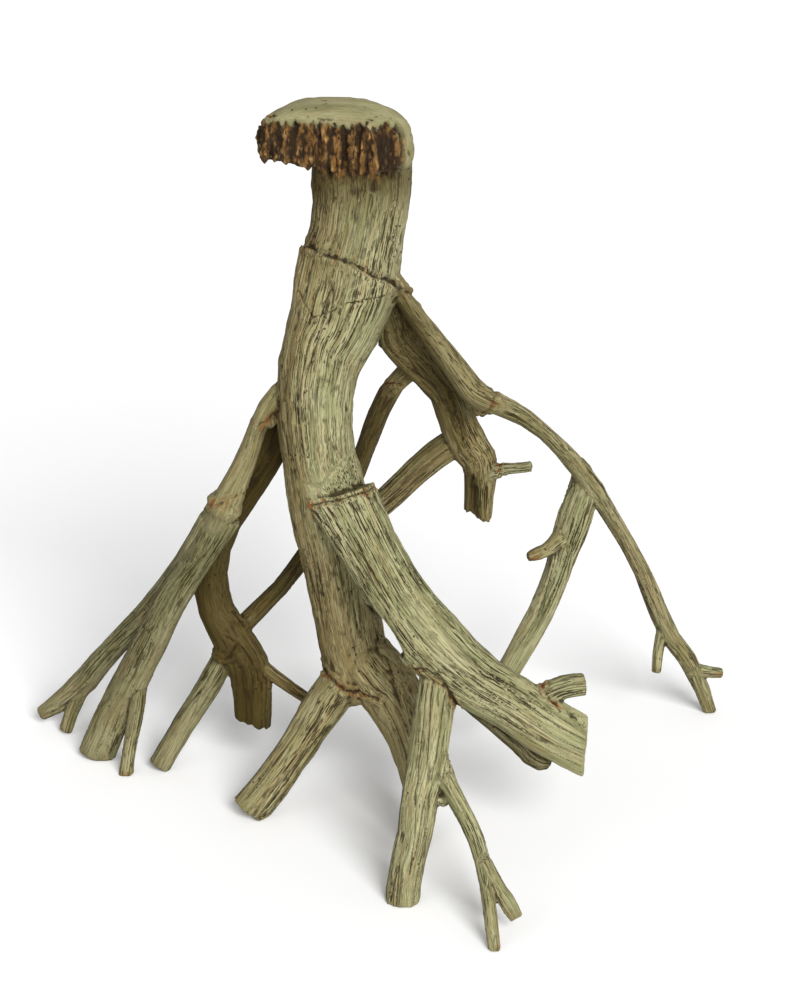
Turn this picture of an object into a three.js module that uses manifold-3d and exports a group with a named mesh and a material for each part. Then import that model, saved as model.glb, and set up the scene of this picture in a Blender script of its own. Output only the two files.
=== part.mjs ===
// A dry, sand-scoured root crown: one grown piece of wood, standing on its cut root ends.
// Millimetres, +Z up. A capped neck runs down into a leaning trunk, and the trunk divides
// into legs, split ribs, sheets and twigs. The front of the object looks towards -Y.
import * as THREE from 'three';
import { mergeVertices } from 'three/addons/utils/BufferGeometryUtils.js';
import Module from 'manifold-3d';

const wasm = await Module();
wasm.setup();

// Driving dimensions
const CAP_CENTRE = [-46, 2];       // middle of the cap in plan
const CAP_HALF_WIDTH = 57;
const CAP_HALF_DEPTH = 32;         // before the front is torn away
const CAP_TOP = 560;
const CAP_UNDERSIDE = 515;         // height of the torn lip's lower edge
const LIP_RISE = 0.08;             // the lip's lower edge rises towards its left end
const TORN_FACE = -19;             // where the cap's torn front stands, under its middle
const TORN_TURN = -0.17;           // how far that front swings back towards the left end
const FLUTES = 13;                 // torn grooves across that front
const FLUTE_RADIUS = 2.8;
const SEAM_STEP = 1.6;             // how far the trunk stands out past the neck at the ring seam
const SEAM_CENTRE = [-35, 0, 436]; // the ring seam's plane, falling to the right and to the back
const SEAM_NORMAL = [0.41, 0.34, 0.85];
const FLOOR = 0;                   // the feet are worn flat at this height
const FAR = 900;                   // longer than anything that is cut away
const FORWARD = new THREE.Vector3(0, 0.906, -0.423); // widths are measured square to this line
const WOOD_COLOUR = 0x98906a;

// A closed three.js geometry becomes a solid once its shared vertices are one.
function welded(geometry) {
  geometry.deleteAttribute('normal');
  geometry.deleteAttribute('uv');
  return mergeVertices(geometry, 1e-4);
}

function solidOf(geometry) {
  const mesh = new wasm.Mesh({
    numProp: 3,
    vertProperties: new Float32Array(geometry.attributes.position.array),
    triVerts: new Uint32Array(geometry.index.array),
  });
  return new wasm.Manifold(mesh);
}

// A limb is a closed cylinder bent along a curve. Each point is [x, y, z, half width, half depth].
// The ridges are the low fluting that runs down every limb, turning slowly about it.
function limb(points, { around = 12, rings = 1.5, ridges = 3, relief = 0.045, turn = 1.5, phase = 0 } = {}) {
  const route = new THREE.CatmullRomCurve3(points.map(([x, y, z]) => new THREE.Vector3(x, y, z)));
  const sizes = new THREE.CatmullRomCurve3(points.map(([, , , w, d]) => new THREE.Vector3(w, d, 0)));
  const steps = Math.round((points.length - 1) * rings);
  const geometry = welded(new THREE.CylinderGeometry(1, 1, 1, around, steps));
  const position = geometry.attributes.position;
  const spot = new THREE.Vector3();
  for (let i = 0; i < position.count; i++) {
    const along = THREE.MathUtils.clamp(0.5 - position.getY(i), 0, 1);
    const across = position.getX(i);
    const outward = position.getZ(i);
    const angle = Math.atan2(outward, across);
    const swell = 1 + relief * Math.sin(ridges * angle + turn * along * points.length + phase);
    const tangent = route.getTangent(along);
    const side = new THREE.Vector3().crossVectors(tangent, FORWARD).normalize();
    const front = new THREE.Vector3().crossVectors(tangent, side);
    const size = sizes.getPoint(along);
    spot.copy(route.getPoint(along));
    spot.addScaledVector(side, across * size.x * swell);
    spot.addScaledVector(front, outward * size.y * swell);
    position.setXYZ(i, spot.x, spot.y, spot.z);
  }
  return solidOf(geometry);
}

// A knot or collar is a flattened ball, turned about the line of sight.
function knot([x, y, z], [rx, ry, rz], lean = 0) {
  const geometry = welded(new THREE.SphereGeometry(1, 10, 6));
  geometry.scale(rx, ry, rz);
  geometry.rotateY(lean);
  geometry.translate(x, y, z);
  return solidOf(geometry);
}

// Everything past a plane, as one large block, for a sawn or snapped end.
function beyond([x, y, z], direction) {
  const geometry = welded(new THREE.BoxGeometry(FAR, FAR, FAR));
  geometry.translate(0, 0, FAR / 2);
  const upright = new THREE.Vector3(0, 0, 1);
  const turn = new THREE.Quaternion().setFromUnitVectors(upright, new THREE.Vector3(...direction).normalize());
  geometry.applyQuaternion(turn);
  geometry.translate(x, y, z);
  return solidOf(geometry);
}

// A snapped end is nicked by a few wedges set side by side across it.
function nick([x, y, z], [dx, dy, dz], radius, length) {
  const geometry = welded(new THREE.ConeGeometry(radius, length, 6));
  const upright = new THREE.Vector3(0, 1, 0);
  const turn = new THREE.Quaternion().setFromUnitVectors(upright, new THREE.Vector3(dx, dy, dz).normalize());
  geometry.applyQuaternion(turn);
  geometry.translate(x, y, z);
  return solidOf(geometry);
}

// The cap: a smooth oblong dome whose front and left end are torn off upright, leaving deep flutes.
function cap() {
  const profile = [
    [0, CAP_TOP],
    [0.35, CAP_TOP - 1],
    [0.6, CAP_TOP - 4],
    [0.8, CAP_TOP - 10],
    [0.92, CAP_TOP - 16],
    [0.98, CAP_TOP - 21],
    [1, CAP_TOP - 29],
    [0.98, CAP_UNDERSIDE + 4],
    [0.93, CAP_UNDERSIDE],
    [0, CAP_UNDERSIDE],
  ];
  const outline = profile.map(([r, h]) => new THREE.Vector2(r, h));
  const dome = welded(new THREE.LatheGeometry(outline.reverse(), 28));
  dome.rotateX(Math.PI / 2);
  dome.scale(CAP_HALF_WIDTH, CAP_HALF_DEPTH, 1);
  dome.translate(CAP_CENTRE[0], CAP_CENTRE[1], 0);
  const position = dome.attributes.position;
  for (let i = 0; i < position.count; i++) {
    const height = position.getZ(i);
    const low = height < CAP_UNDERSIDE + 10;
    const rise = low ? LIP_RISE * (CAP_CENTRE[0] - position.getX(i)) : 0;
    position.setZ(i, height + rise);
  }
  let slab = solidOf(dome)
    .subtract(beyond([CAP_CENTRE[0], TORN_FACE, 535], [TORN_TURN, -1, 0.06]))
    .subtract(beyond([CAP_CENTRE[0] - CAP_HALF_WIDTH + 2, 0, 535], [-1, -0.25, 0]));
  const left = CAP_CENTRE[0] - CAP_HALF_WIDTH + 4;
  const spacing = (2 * CAP_HALF_WIDTH - 10) / (FLUTES - 1);
  for (let i = 0; i < FLUTES; i++) {
    const x = left + i * spacing + 1.6 * Math.sin(i * 2.3);
    const y = TORN_FACE + TORN_TURN * (x - CAP_CENTRE[0]) - 0.4;
    slab = slab.subtract(flute(x, y, i));
  }
  for (let i = 0; i < 2; i++) {
    slab = slab.subtract(flute(left - 3, i * 9, i + 5));
  }
  return slab;
}

// One torn groove: a slim upright wedge, each a little different in width, reach and lean.
function flute(x, y, i) {
  const radius = FLUTE_RADIUS * (1 + 0.3 * Math.sin(i * 1.7));
  const height = 46 + 8 * Math.sin(i * 2.9);
  const groove = welded(new THREE.CylinderGeometry(radius * 0.5, radius * 1.25, height, 5));
  groove.rotateX(Math.PI / 2 + 0.05 * Math.sin(i * 3.1));
  groove.rotateY(0.12 * Math.sin(i * 1.9));
  groove.translate(x, y, CAP_UNDERSIDE + 16);
  return solidOf(groove);
}

// The neck under the cap, down to the slanting ring seam.
function neck() {
  const points = [
    [-27, 2, 528, 36.5, 22],
    [-27, 2, 505, 36.5, 22],
    [-27, 2, 487, 36, 23.5],
    [-30, 1, 463, 34.5, 26],
    [-35, 0, 440, 37, 28],
    [-41, 0, 405, 34, 26],
  ];
  return limb(points, { around: 18, ridges: 5, relief: 0.02, phase: 1 });
}

// The trunk from the ring seam to the fork, in a long S.
function trunk() {
  const points = [
    [-31, 0, 464, 35.5 + SEAM_STEP, 27 + SEAM_STEP],
    [-35, 0, 440, 38 + SEAM_STEP, 28 + SEAM_STEP],
    [-40, 0, 416, 38.5, 29],
    [-47, -1, 392, 35, 28],
    [-56, -2, 369, 31, 28],
    [-62, -5, 332, 29, 27],
    [-60, -8, 293, 28, 27],
    [-55, -8, 264, 30, 27],
    [-51, -3, 232, 30, 26],
    [-46, 1, 197, 28.5, 25],
    [-41.7, 1, 162, 25.9, 24],
    [-37, -3, 130, 25.7, 23],
    [-29, -10, 101, 26, 21],
    [-23, -17, 86, 17, 13],
  ];
  return limb(points, { around: 18, rings: 1.6, ridges: 5, relief: 0.025, turn: 0.7 })
    .subtract(beyond(SEAM_CENTRE, SEAM_NORMAL));
}

// The two legs under the fork: one falls to the front left, one drops behind the front leg.
function forkLegs() {
  const left = limb([
    [-34, -12, 116, 15, 14],
    [-53, -20, 90, 16.8, 13.5],
    [-68, -28, 68, 15, 13],
    [-90, -37, 37, 15, 13],
    [-123, -48, -4, 15.5, 13],
  ], { phase: 2 }).subtract(beyond([-115, -45, 3], [-0.6, -0.15, -0.78]));
  const rear = limb([
    [-36, -6, 130, 16, 16],
    [-21, -16, 109, 20.5, 19],
    [-6, -26, 93, 21, 18],
    [5.5, -42, 75, 18.5, 17],
    [13, -58, 53, 16.5, 15],
    [16, -74, 29, 12.5, 13],
    [10, -92, -8, 9.5, 11],
  ], { phase: 0.5 });
  const web = limb([
    [-30, -3, 146, 6, 7],
    [-14, -11, 128, 8, 8],
    [0, -24, 114, 11, 9],
    [10, -40, 98, 11, 10],
    [15, -57, 78, 8, 8],
  ], { around: 10 });
  return left.add(rear).add(web);
}

// The big limb on the front, laid over the trunk like a graft, with a beaked upper edge.
function frontLimb() {
  const body = limb([
    [-52, -24, 283, 24, 10],
    [-42, -27, 264, 26, 13],
    [-23, -42, 231, 23, 17],
    [-1, -60, 196, 23, 19],
    [22, -76, 170, 26, 19],
    [52, -88, 145, 23, 17],
    [86, -95, 125, 22, 13],
    [120, -99, 102, 21.5, 10],
    [156, -101, 82.5, 20.5, 8],
  ], { around: 18, phase: 1.2, ridges: 4, relief: 0.03 });
  const underside = limb([
    [36, -82, 132, 4, 8],
    [68, -86, 108, 8, 9],
    [91, -88, 89, 9, 9],
    [104, -89, 76, 10, 9],
    [114, -89, 72, 6, 6],
  ], { around: 10, rings: 1.4 });
  const stub = limb([
    [99, -92, 125, 11, 9.5],
    [117, -88, 133.5, 9.3, 8],
    [129, -84, 135, 9.2, 8],
    [138, -82, 135, 8.4, 7],
  ], { around: 10, rings: 1.4 });
  return body
    .subtract(beyond([-42, -30, 268], [-0.25, 0.2, 0.95]))
    .subtract(beyond([139, -100, 90], [0.98, -0.1, -0.05]))
    .subtract(nick([134, -100, 115.5], [-0.83, 0, 0.55], 12, 40))
    .add(underside)
    .add(stub);
}

// The leg that drops from the front limb, and the forked twig beside it.
function frontLeg() {
  const leg = limb([
    [36, -76, 160, 13, 10],
    [28, -92, 138, 15.5, 12],
    [24, -115, 113, 15, 13],
    [20, -134, 93, 14.8, 13],
    [14, -149, 72, 14, 12],
    [11, -157, 50, 13.2, 12],
    [5, -163, 20, 12.8, 12],
    [2.5, -167, -6, 13, 12],
  ], { phase: 0.3, rings: 1.4 });
  const twig = limb([
    [23, -119, 117, 9, 8],
    [29, -133, 98, 8.6, 8.2],
    [37, -146, 84, 7.2, 7],
    [47, -159, 71, 6.9, 6.5],
    [56, -175, 57, 6.4, 6],
    [62, -193, 41, 6, 5.6],
    [65, -211, 26, 5.4, 5.2],
    [68, -229, 5, 4.9, 4.7],
    [69, -232, -4, 4.6, 4.6],
  ], { around: 8, rings: 1.5 });
  const twiglet = limb([
    [62, -190, 48, 5.2, 4.6],
    [72, -203, 33, 5.4, 4.6],
    [78, -208, 25, 6.6, 4.4],
    [85, -213, 14, 5.2, 4],
  ], { around: 8, rings: 1.5 });
  return leg
    .add(twig)
    .add(twiglet)
    .add(knot([32, -148, 74], [6, 5, 5]))
    .subtract(nick([-11, -172, 5], [0.9, 0.3, 0.3], 5, 16));
}

// The left limb: a lit outer rib down to a knot, then a broad leg, a thin forked one and a peg.
function leftLimb() {
  const rib = limb([
    [-80, 2, 344, 6, 7],
    [-93, -4, 332, 8.5, 8],
    [-105, -10, 312, 7, 8],
    [-112, -12, 291, 8, 8],
    [-121, -14, 271, 9.6, 9],
    [-130, -13, 251, 11.5, 10.5],
    [-139, -8, 228, 9, 8],
  ], { around: 12 });
  const leg = limb([
    [-133.5, -8, 239, 15, 11],
    [-149, 0, 204, 11.6, 10],
    [-172, 12, 164, 12.8, 10],
    [-194, 26, 115, 13.5, 9.5],
    [-212, 36, 74, 14.3, 9],
    [-228, 43, 38, 14.8, 8.5],
    [-246, 45, -6, 15, 9],
  ], { phase: 2.4, rings: 1.4 }).subtract(beyond([-244, 46, 1], [-0.3, 0.1, -0.95]));
  const thin = limb([
    [-143, -6, 236, 8, 8],
    [-156, 6, 206, 9, 8],
    [-177, 24, 166, 9.5, 8],
    [-204, 48, 121, 9.3, 8],
    [-234, 70, 79, 9.8, 7.5],
    [-256, 84, 46, 11, 7.5],
    [-275, 93, 24, 9, 6.6],
    [-293, 98, 9, 6, 5.4],
  ], { around: 10, rings: 1.4 });
  const tine = limb([
    [-250, 82, 50, 5, 5],
    [-264, 86, 24, 6, 5.4],
    [-272, 84, 1, 5.6, 5],
  ], { around: 8, rings: 1.5 });
  const peg = limb([
    [-201, 37, 92, 4, 4],
    [-205, 32, 66, 6, 5.6],
    [-209, 28, 43, 6.4, 6],
    [-214, 22, 20, 5.8, 5.6],
    [-218, 16, -5, 6.4, 5.6],
  ], { around: 8, rings: 1.5 });
  return rib
    .add(leg)
    .add(thin)
    .add(tine)
    .add(peg)
    .add(knot([-131, -13, 249], [14.5, 11.5, 13], 0.5))
    .add(knot([-97, -11, 318], [6, 6, 5.5]));
}

// The dark sheet behind the left rib, hollowed towards the front, and what hangs from it.
function innerLeft() {
  const sheet = limb([
    [-66, 0, 348, 7, 7],
    [-77, 5, 327, 14, 12],
    [-92, 11, 300, 16, 11],
    [-103, 15, 277, 16, 11],
    [-119, 19, 248, 14.5, 11],
    [-134.5, 25, 216, 12.4, 11],
    [-143.5, 31, 183, 12.4, 10],
    [-146, 37, 154, 14, 10],
    [-142, 39, 131, 14.5, 10],
    [-129.5, 38, 108, 16.5, 10],
    [-117.5, 36, 85, 17, 10],
    [-116, 32, 63, 15.6, 9],
    [-116, 27, 36, 14.5, 8],
  ], { around: 12, rings: 1.4, phase: 1 });
  const hollow = limb([
    [-84, -5, 327, 8, 7],
    [-94, -3, 300, 11, 9],
    [-106, 1, 276, 11, 9],
    [-120, 6, 250, 8, 8],
    [-131, 12, 232, 3, 4],
  ], { around: 10, rings: 1.4, relief: 0 });
  const tornFace = limb([
    [-124, 25, 92, 3, 3],
    [-123, 21, 70, 8, 5],
    [-124, 17, 48, 10, 7],
    [-126, 13, 26, 12, 8],
  ], { around: 10, rings: 1.5, relief: 0 });
  const twig = limb([
    [-110, 36, 88, 6, 6],
    [-91, 32, 74, 5.2, 5],
    [-66, 28, 57, 4.6, 4.6],
  ], { around: 8, rings: 1.5 });
  const cutLeg = limb([
    [-128, 40, 118, 9, 8],
    [-141, 40, 85, 10.2, 8.5],
    [-164, 34, 48, 9.8, 8],
    [-196, 24, -6, 9.2, 8.2],
  ], { around: 10, rings: 1.4 }).subtract(beyond([-192, 25, 3], [-0.5, -0.1, -0.86]));
  return sheet
    .subtract(hollow)
    .subtract(tornFace)
    .subtract(beyond([-117, 28, 41], [-0.3, 0, -1]))
    .subtract(nick([-130, 24, 40], [0, 0, 1], 7, 14))
    .subtract(nick([-107, 30, 38], [0, 0, 1], 5, 9))
    .add(twig)
    .add(cutLeg)
    .add(knot([-139, 36, 97], [9.5, 9, 5.5], 0.6));
}

// The two back roots: they leave the right sheet, pass behind the trunk and come out on the left.
function backRoots() {
  const upper = limb([
    [-136, 40, 104, 7, 7],
    [-123, 44, 119, 8.2, 7],
    [-98, 54, 141, 7, 6.2],
    [-78, 60, 166, 7.4, 6.4],
    [-54, 62, 202, 8, 7],
    [-36, 60, 237, 7.8, 7.5],
    [-21, 54, 281, 7.8, 7.5],
    [-11, 47, 310, 8.8, 7.5],
    [1, 40, 332, 7, 6],
  ], { around: 10, rings: 1.4 });
  const lower = limb([
    [44, 43, 278, 12, 9],
    [21, 49, 257, 11.4, 8.5],
    [1, 54, 234, 11, 8.5],
    [-22, 58, 209.5, 10, 8],
    [-46, 60, 190, 8, 7],
    [-66, 60, 178, 5.5, 5],
  ], { around: 10, rings: 1.4, phase: 2 });
  return upper.add(lower).add(knot([-122, 43, 121], [8, 7, 6.5], 0.6));
}

// The right limb: a thick lit rib ends at a node, then a long thin root runs out to the floor.
function rightLimb() {
  const rib = limb([
    [-8, -4, 436, 6, 7],
    [3, -2, 412, 7.4, 8],
    [14.5, 3, 392, 7.6, 8],
    [28.5, 6, 372, 8.8, 8.5],
    [41, 9, 353, 9.4, 9],
    [54, 12, 333, 10.6, 10],
    [66, 15, 323, 10.2, 10],
    [79, 20, 316, 6, 7],
  ], { around: 10, rings: 1.4 });
  const root = limb([
    [62, 14, 326, 9, 9],
    [78, 20, 316, 8.8, 8],
    [93, 26, 306, 7.7, 7.2],
    [113, 35, 286, 6.3, 6.2],
    [133, 45, 260, 7, 6.6],
    [150, 54, 233, 8.4, 8],
    [163, 62, 209, 6.8, 6.4],
    [178, 71, 180, 6.6, 6.2],
    [193, 81, 147, 7, 6.5],
    [205, 90, 115, 8.2, 7.4],
    [219, 99, 81, 8, 7],
    [238, 109, 50, 7.8, 7],
    [256, 119, 3, 5.8, 5.6],
    [258, 121, -6, 5.4, 5.2],
  ], { around: 10, rings: 1.4 });
  const fork = limb([
    [137, 48, 258, 5.5, 6],
    [142, 53, 243, 9.5, 8],
    [142, 55, 228, 12.8, 9],
    [136, 57, 204, 14.2, 10],
    [129, 58, 178, 12, 9.5],
    [123, 57, 155, 11, 9],
    [114, 54, 130, 10.8, 9],
    [102, 49, 107, 10.6, 9],
    [89, 43, 84, 9.6, 9],
    [74, 35, 56, 9.2, 8.6],
  ], { around: 10, rings: 1.4, phase: 1 });
  const peg = limb([
    [126, 54, 190, 8, 7],
    [115, 50, 182, 5.6, 5.4],
    [107, 46, 180, 5.6, 5.2],
    [100, 43, 179, 3.6, 3.6],
  ], { around: 8, rings: 1.5 });
  const drop = limb([
    [213, 95, 95, 5, 5],
    [210, 96, 70, 4.8, 4.6],
    [209, 94, 50, 4.1, 4],
  ], { around: 8, rings: 1.5 });
  const tine = limb([
    [236, 108, 46, 6, 6],
    [252, 113, 40, 5.2, 5],
    [265, 117, 37, 4.4, 4.2],
  ], { around: 8, rings: 1.5 });
  return rib
    .add(root)
    .add(fork)
    .add(peg)
    .add(drop)
    .add(tine)
    .add(knot([5, -2, 418], [6.5, 6, 3.5], 0.3))
    .add(knot([60, 18, 315], [7, 7, 5.5], 0.6));
}

// The sheet behind the right rib: a shallow trough that ends in a hooked stub with a side twig.
function innerRight() {
  const sheet = limb([
    [-22, 2, 425, 12, 10],
    [-9, 6, 411, 14, 10],
    [-2, 14, 392, 16, 10],
    [3.5, 24, 370, 19.5, 10],
    [19.5, 31, 345, 16.4, 10],
    [35, 36, 322, 13.5, 11],
    [44, 40, 298, 14, 12],
    [52.5, 42, 276, 15, 12],
    [61.5, 42, 260, 14.2, 12],
    [62, 41, 240, 12, 11],
    [61, 38, 212, 11, 10.5],
  ], { around: 12, rings: 1.4, phase: 0.8 });
  const trough = limb([
    [-6, -12, 416, 7, 9],
    [0, -5, 392, 13, 13],
    [8, 4, 368, 16, 14],
    [21, 12, 344, 15, 14],
    [35, 19, 320, 12, 12],
    [45, 23, 298, 8, 10],
    [50, 26, 282, 4, 5],
  ], { around: 12, rings: 1.4, relief: 0 });
  const stubHollow = limb([
    [52, 29, 259, 2, 3],
    [54, 29, 246, 6, 7],
    [54, 27, 228, 7, 8],
    [54, 24, 206, 7.5, 9],
  ], { around: 10, rings: 1.5, relief: 0 });
  const web = limb([
    [22, 34, 346, 9, 7],
    [8, 38, 338, 8.5, 7.5],
    [-5, 42, 323, 7.5, 7],
  ], { around: 10, rings: 1.4 });
  const twig = limb([
    [62, 40, 250, 9, 8],
    [74, 37, 255, 6.6, 6.2],
    [82, 35, 258, 4.8, 4.6],
    [90, 33, 259.5, 4.5, 4.2],
    [101, 30, 262, 4.4, 4.2],
  ], { around: 8, rings: 1.5 });
  return sheet
    .subtract(trough)
    .subtract(stubHollow)
    .subtract(beyond([61, 38, 218], [-0.25, 0, -0.97]))
    .add(web)
    .add(twig);
}

// The slot that stays open between the trunk and the front limb, just above the fork.
function slot() {
  return limb([
    [-24, -50, 187, 1.6, 62],
    [-15, -53, 175, 4, 66],
    [-8, -55, 165, 4.6, 66],
    [-1, -57, 153, 2.6, 60],
  ], { around: 8, relief: 0 });
}

const pieces = [cap, neck, trunk, forkLegs, frontLimb, frontLeg, leftLimb, innerLeft, backRoots, rightLimb, innerRight];
const wood = pieces
  .map((make) => make())
  .reduce((whole, piece) => whole.add(piece))
  .subtract(slot())
  .subtract(beyond([0, 0, FLOOR], [0, 0, -1]));

const { vertProperties, triVerts } = wood.getMesh();
const geometry = new THREE.BufferGeometry();
geometry.setAttribute('position', new THREE.BufferAttribute(vertProperties, 3));
geometry.setIndex(new THREE.BufferAttribute(triVerts, 1));

// The origin is under the middle of the box, on the floor.
geometry.computeBoundingBox();
const { min, max } = geometry.boundingBox;
geometry.translate(-(min.x + max.x) / 2, -(min.y + max.y) / 2, -min.z);
geometry.computeVertexNormals();

const material = new THREE.MeshStandardMaterial({ color: WOOD_COLOUR, roughness: 0.85, metalness: 0 });
const root = new THREE.Mesh(geometry, material);
root.name = 'root';

const model = new THREE.Group();
model.add(root);

export default model;
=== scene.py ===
import math

import bmesh
import bpy
import numpy as np
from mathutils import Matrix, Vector
from mathutils.kdtree import KDTree


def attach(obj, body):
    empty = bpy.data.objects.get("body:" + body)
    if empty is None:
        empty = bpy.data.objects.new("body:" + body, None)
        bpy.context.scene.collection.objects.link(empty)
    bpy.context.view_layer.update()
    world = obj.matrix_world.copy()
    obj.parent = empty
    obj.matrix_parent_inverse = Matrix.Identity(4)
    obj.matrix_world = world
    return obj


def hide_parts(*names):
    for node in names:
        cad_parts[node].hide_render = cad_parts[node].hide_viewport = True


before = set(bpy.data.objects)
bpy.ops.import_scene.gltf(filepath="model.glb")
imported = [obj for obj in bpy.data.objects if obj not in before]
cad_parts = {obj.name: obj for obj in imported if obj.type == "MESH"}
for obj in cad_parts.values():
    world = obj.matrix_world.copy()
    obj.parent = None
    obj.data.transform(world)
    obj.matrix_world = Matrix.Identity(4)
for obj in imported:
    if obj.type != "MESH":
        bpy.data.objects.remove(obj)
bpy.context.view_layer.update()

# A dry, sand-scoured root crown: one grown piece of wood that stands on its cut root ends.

# The camera stands about two metres in front of the root and looks down on it a little. Its lens is
# long, so the near legs look hardly bigger than the far ones.
AIM = Vector((0.0152, 0.0551, 0.248))
CAMERA_DISTANCE = 2.2
CAMERA_ELEVATION = math.radians(25)
camera = bpy.data.objects.new("camera", bpy.data.cameras.new("camera"))
bpy.context.scene.collection.objects.link(camera)
camera.data.lens = 105
camera.data.sensor_width = 36
back = Vector((0, -math.cos(CAMERA_ELEVATION), math.sin(CAMERA_ELEVATION)))
camera.location = AIM + CAMERA_DISTANCE * back
camera.rotation_euler = back.to_track_quat("Z", "Y").to_euler()
bpy.context.scene.camera = camera

# The wood is one piece, so it starts as a copy of its solid, welded and turned into an even skin of
# small squares. Ripples left by the solid's flat facets are eased out without thinning the twigs.
SKIN_SQUARE = 0.00115
WELD_GAP = 1e-6
EASE_ROUNDS = 14
EASE_STEP = 0.5
EASE_BACK = -0.53


def numbers(collection, field, width, kind=np.float64):
    """One field of every vertex, edge or face of a mesh, as an array."""
    values = np.empty(len(collection) * width, kind)
    collection.foreach_get(field, values)
    return values.reshape(-1, width) if width > 1 else values


def with_modifier(mesh, kind, **settings):
    """A new mesh: this one after one modifier."""
    piece = bpy.data.objects.new("bench", mesh)
    bpy.context.scene.collection.objects.link(piece)
    modifier = piece.modifiers.new(kind.lower(), kind)
    for name, value in settings.items():
        setattr(modifier, name, value)
    graph = bpy.context.evaluated_depsgraph_get()
    result = bpy.data.meshes.new_from_object(piece.evaluated_get(graph))
    bpy.data.objects.remove(piece)
    return result


def neighbour_mean(values, edges):
    """The mean of each vertex's neighbours, for an array of one row per vertex."""
    first, second = edges[:, 0], edges[:, 1]
    count = len(values)
    valence = np.bincount(first, minlength=count) + np.bincount(second, minlength=count)
    total = np.empty_like(values)
    for axis in range(values.shape[1]):
        column = values[:, axis]
        total[:, axis] = np.bincount(first, column[second], count)
        total[:, axis] += np.bincount(second, column[first], count)
    return total / valence[:, None]


def eased(points, edges, rounds, keep_volume=True):
    """Points moved towards their neighbours, and back a little more, so that nothing shrinks."""
    points = points.copy()
    steps = (EASE_STEP, EASE_BACK) if keep_volume else (EASE_STEP,)
    for _ in range(rounds):
        for step in steps:
            points += step * (neighbour_mean(points, edges) - points)
    return points


solid = bmesh.new()
solid.from_mesh(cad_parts["root"].data)
bmesh.ops.remove_doubles(solid, verts=solid.verts, dist=WELD_GAP)
blank = bpy.data.meshes.new("blank")
solid.to_mesh(blank)
solid.free()
skin = with_modifier(blank, "REMESH", mode="VOXEL", voxel_size=SKIN_SQUARE, adaptivity=0)
edges = numbers(skin.edges, "vertices", 2, np.int32)
points = eased(numbers(skin.vertices, "co", 3), edges, EASE_ROUNDS)

# Every limb grew along a line of its own, and the grain follows it. A limb's route gives the middle
# of the wood with its half width and half depth, in millimetres from where the trunk rises. Half
# widths are measured across the camera's view, and half depths along it.
TRUNK_FOOT = np.array([15.194, 55.145, 0])
MM = 0.001
VIEW = np.array([0, 0.906, -0.423])
STATIONS = 12
limbs = []
hollows = []


def unit(vectors):
    """The same directions, each of length one."""
    return vectors / np.maximum(np.linalg.norm(vectors, axis=-1, keepdims=True), 1e-12)


def place(millimetres):
    """A point or points given from the trunk's foot, in the frame's metres."""
    return (np.array(millimetres, float) + TRUNK_FOOT) * MM


def limb(name, route, stain_and_shade=0.0, warm=0.0, cracks=1.0, tip=0.0, kept_in=limbs):
    """Adds one limb: a smooth line through the route, with its width, depth and frame at close stations.

    Its stain is how dark the limb is, partly darker wood and partly painted shade; warm is how ochre,
    cracks how fissured, and tip how rusty its end is.
    A hollow is measured like a limb, and is kept in a list of its own.
    """
    knots = np.array(route, float)
    ghosts = np.vstack([2 * knots[0] - knots[1], knots, 2 * knots[-1] - knots[-2]])
    share = np.linspace(0, 1, STATIONS, endpoint=False)[:, None]
    stretches = []
    for a, b, c, d in zip(ghosts, ghosts[1:], ghosts[2:], ghosts[3:]):
        bend = 2 * a - 5 * b + 4 * c - d
        twist = 3 * b - a - 3 * c + d
        stretches.append(b + 0.5 * ((c - a) * share + bend * share ** 2 + twist * share ** 3))
    line = np.vstack(stretches + [knots[-1:]])
    spots = place(line[:, :3])
    tangent = unit(np.gradient(spots, axis=0))
    side = unit(np.cross(tangent, VIEW))
    travel = np.concatenate([[0], np.cumsum(np.linalg.norm(np.diff(spots, axis=0), axis=1))])
    kept_in.append({
        "name": name, "spots": spots, "tangent": tangent, "side": side, "front": np.cross(tangent, side),
        "half": line[:, 3:] * MM, "travel": travel, "stain_and_shade": stain_and_shade, "warm": warm,
        "cracks": cracks, "tip": tip,
    })


# Collars, seams and rings are lines on the wood: a groove with a raised lip on each side, often
# with orange-brown bark left in it. Their widths, depths and lips are in millimetres.
seams = []


def seam(points, width=1.2, depth=1.2, lip=0.8, rust=0.8, dark=0.8):
    """Adds a line of points, in millimetres from the trunk's foot, that is cut into the skin."""
    seams.append({
        "points": place(points), "width": width * MM, "depth": depth * MM, "lip": lip * MM,
        "rust": rust, "dark": dark,
    })


rings = []


def ring(centre, normal, reach, width=1.4, depth=0.8, lip=1.2, rust=0.8, dark=0.5):
    """Adds a groove that runs right round a limb, where a slanting plane meets it."""
    rings.append({
        "centre": place(centre), "normal": unit(np.array(normal, float)), "reach": reach * MM,
        "width": width * MM, "depth": depth * MM, "lip": lip * MM, "rust": rust, "dark": dark,
    })


# The cap and neck: the crown of the root, a smooth dome torn off in front into upright flutes, on a
# fissured neck that ends at a rough ring.
limb("cap", [[-103, 2, 540, 30, 25], [-80, 2, 542, 31, 25], [-46, 2, 544, 32, 25], [-20, 2, 542, 31, 25],
             [10, 2, 540, 30, 25]], stain_and_shade=0.26, cracks=0.15)
ring([-35, 0, 436], [0.41, 0.34, 0.85], 60, width=2.0, depth=1.3, lip=0.8, rust=0.5, dark=0.95)
seam([[-1, -21, 486], [-3, -22, 470], [0, -22, 458], [8, -18, 450]], width=0.8, depth=0.7, lip=0.3,
     rust=0.2)

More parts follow.
